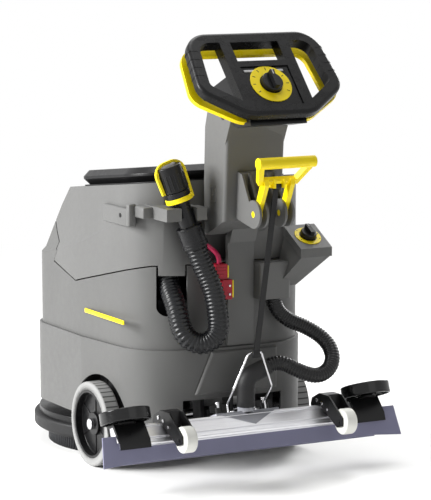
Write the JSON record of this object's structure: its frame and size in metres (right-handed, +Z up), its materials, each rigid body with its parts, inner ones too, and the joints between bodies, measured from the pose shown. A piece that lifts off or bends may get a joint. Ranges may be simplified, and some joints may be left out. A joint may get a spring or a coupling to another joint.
{
  "type": "floor scrubber",
  "caption": "Walk-behind floor scrubber drier: tipping tank over a wheeled body, round brush deck, ring handle, lifting squeegee, hoses.",
  "frame": {"origin": "on the floor, under the middle of the machine's box", "axes": "+X to the operator's right, +Y the way it travels, +Z up"},
  "size_m": [0.78, 0.983, 1.0231],
  "materials": {
    "grey_plastic": "fine grained moulding",
    "lower_plastic": "fine grained moulding",
    "black_plastic": "fine grained moulding",
    "glossy_black": "smooth",
    "yellow_plastic": "satin moulding",
    "yellow_metal": "smooth paint",
    "black_rubber": "matt",
    "hose_rubber": "corrugated",
    "blade_rubber": "smooth rubber sheet",
    "tyre_rubber": "light grey, cross grooved",
    "roller_plastic": "smooth",
    "aluminium": "extruded, satin",
    "steel": "bright",
    "chassis_steel": "black powder coat",
    "plate_steel": "grey coat",
    "red_plastic": "satin",
    "cable_skin": "smooth",
    "brush_plastic": "moulded",
    "bristle": "nylon tufts",
    "battery_case": "ribbed case",
    "motor_metal": "cast and painted"
  },
  "bodies": {
    "chassis": {"chassis_frame": "chassis_steel", "lower_tank": "lower_plastic", "rear_cover": "grey_plastic", "control_column": "grey_plastic", "bright_fasteners": "steel", "handle_ring": "black_plastic", "hand_grips": "black_rubber", "control_panel": "black_plastic", "head_shell": "black_plastic", "scale_rings": "yellow_plastic", "dosing_housing": "grey_plastic", "lever_bracket": "grey_plastic", "brush_deck": "black_plastic", "deck_bumper": "black_rubber", "brush_motor": "motor_metal", "wheel_axle": "steel", "battery_pack": "battery_case", "battery_plug_lower": "red_plastic", "battery_plug_upper": "red_plastic", "battery_cables": "cable_skin", "suction_turbine": "black_plastic", "water_filter": "glossy_black", "suction_hose": "hose_rubber"},
    "program_knob": {"program_knob": "black_plastic"},
    "dosing_knob": {"dosing_knob": "black_plastic"},
    "deadman_bail": {"deadman_bail": "yellow_metal"},
    "filler_cap": {"filler_cap": "black_plastic"},
    "lift_lever": {"lift_lever": "yellow_plastic"},
    "lift_strap": {"lift_strap": "black_plastic"},
    "brush": {"brush_disc": "brush_plastic", "brush_bristles": "bristle"},
    "left_wheel": {"left_wheel_rim": "black_plastic", "left_wheel_tyre": "tyre_rubber"},
    "right_wheel": {"right_wheel_rim": "black_plastic", "right_wheel_tyre": "tyre_rubber"},
    "dirty_water_tank": {"upper_tank": "grey_plastic", "hose_hook": "grey_plastic", "drain_hose": "hose_rubber", "drain_tube": "grey_plastic", "cap_strap": "yellow_plastic"},
    "drain_cap": {"drain_cap": "grey_plastic"},
    "tank_lid": {"tank_lid": "black_plastic", "lid_seal": "black_rubber", "float_strainer": "roller_plastic"},
    "squeegee_lift_arm": {"squeegee_arm": "chassis_steel"},
    "squeegee": {"squeegee_plate": "plate_steel", "squeegee_beam": "aluminium", "front_blade": "blade_rubber", "rear_blade": "blade_rubber", "end_brackets": "black_plastic", "roller_forks": "black_plastic", "suction_nozzle": "black_rubber", "squeegee_bolts": "steel", "wire_yoke": "steel"},
    "left_bumper_disc": {"left_bumper_disc": "glossy_black"},
    "right_bumper_disc": {"right_bumper_disc": "glossy_black"},
    "left_roller": {"left_roller": "roller_plastic"},
    "right_roller": {"right_roller": "roller_plastic"},
    "left_wing_nut": {"left_wing_nut": "black_plastic"},
    "right_wing_nut": {"right_wing_nut": "black_plastic"}
  },
  "joints": [
    {"name": "left_wheel_axle", "type": "hinge", "parent": "chassis", "child": "left_wheel", "pos_m": [0, -0.022, 0.1], "axis": [1, 0, 0], "continuous": true},
    {"name": "right_wheel_axle", "type": "hinge", "parent": "chassis", "child": "right_wheel", "pos_m": [0, -0.022, 0.1], "axis": [1, 0, 0], "continuous": true},
    {"name": "brush_shaft", "type": "hinge", "parent": "chassis", "child": "brush", "pos_m": [0, 0.222, 0.05], "axis": [0, 0, 1], "continuous": true},
    {"name": "program_dial", "type": "hinge", "parent": "chassis", "child": "program_knob", "pos_m": [0, -0.40216, 0.91473], "axis": [0, -0.7337, 0.6794], "range_deg": [-120, 120]},
    {"name": "dosing_dial", "type": "hinge", "parent": "chassis", "child": "dosing_knob", "pos_m": [0.1765, -0.267, 0.5455], "axis": [0, -0.4811, 0.8767], "range_deg": [-135, 135]},
    {"name": "deadman_pivot", "type": "hinge", "parent": "chassis", "child": "deadman_bail", "pos_m": [0, -0.41619, 0.83776], "axis": [1, 0, 0], "range_deg": [0, 3], "stiffness_Nm_per_rad": 15, "springref_deg": -5.73},
    {"name": "filler_turn", "type": "hinge", "parent": "chassis", "child": "filler_cap", "pos_m": [0, 0.364, 0.262], "axis": [0, 1, 0], "range_deg": [0, 90]},
    {"name": "lever_pivot", "type": "hinge", "parent": "chassis", "child": "lift_lever", "pos_m": [0, -0.402, 0.625], "axis": [1, 0, 0], "range_deg": [0, 80]},
    {"name": "strap_hook", "type": "hinge", "parent": "lift_lever", "child": "lift_strap", "pos_m": [0, -0.428, 0.69], "axis": [1, 0, 0], "range_deg": [-82, 0]},
    {"name": "squeegee_lift", "type": "hinge", "parent": "chassis", "child": "squeegee_lift_arm", "pos_m": [0, -0.131, 0.125], "axis": [1, 0, 0], "range_deg": [0, 20], "deforming": ["suction_hose"]},
    {"name": "squeegee_swing", "type": "hinge", "parent": "squeegee_lift_arm", "child": "squeegee", "pos_m": [0, -0.22882, 0.134], "axis": [0, 0.342, 0.9397], "range_deg": [-8, 8]},
    {"name": "left_bumper_pin", "type": "hinge", "parent": "squeegee", "child": "left_bumper_disc", "pos_m": [-0.316, -0.30143, 0.17426], "axis": [0, 0.342, 0.9397], "continuous": true},
    {"name": "right_bumper_pin", "type": "hinge", "parent": "squeegee", "child": "right_bumper_disc", "pos_m": [0.316, -0.30143, 0.17426], "axis": [0, 0.342, 0.9397], "continuous": true},
    {"name": "left_roller_pin", "type": "hinge", "parent": "squeegee", "child": "left_roller", "pos_m": [-0.208, -0.39192, 0.12738], "axis": [1, 0, 0], "continuous": true},
    {"name": "right_roller_pin", "type": "hinge", "parent": "squeegee", "child": "right_roller", "pos_m": [0.208, -0.39192, 0.12738], "axis": [1, 0, 0], "continuous": true},
    {"name": "left_wing_nut_turn", "type": "hinge", "parent": "squeegee", "child": "left_wing_nut", "pos_m": [-0.06, -0.26846, 0.15375], "axis": [0, 0.342, 0.9397], "continuous": true},
    {"name": "right_wing_nut_turn", "type": "hinge", "parent": "squeegee", "child": "right_wing_nut", "pos_m": [0.06, -0.26846, 0.15375], "axis": [0, 0.342, 0.9397], "continuous": true},
    {"name": "tank_tilt", "type": "hinge", "parent": "chassis", "child": "dirty_water_tank", "pos_m": [0, 0.256, 0.552], "axis": [-1, 0, 0], "range_deg": [0, 50], "deforming": ["drain_hose"]},
    {"name": "lid_hinge", "type": "hinge", "parent": "dirty_water_tank", "child": "tank_lid", "pos_m": [0, 0.18195, 0.6443], "axis": [-1, 0, 0], "range_deg": [0, 75]},
    {"name": "drain_cap_turn", "type": "hinge", "parent": "dirty_water_tank", "child": "drain_cap", "pos_m": [-0.16929, -0.24895, 0.7], "axis": [-0.3109, 0.0995, 0.9452], "range_deg": [0, 90]}
  ],
  "couplings": [
    {"joint": "lever_pivot", "follows": "squeegee_lift", "ratio": 4},
    {"joint": "strap_hook", "follows": "squeegee_lift", "ratio": -4.0276}
  ]
}
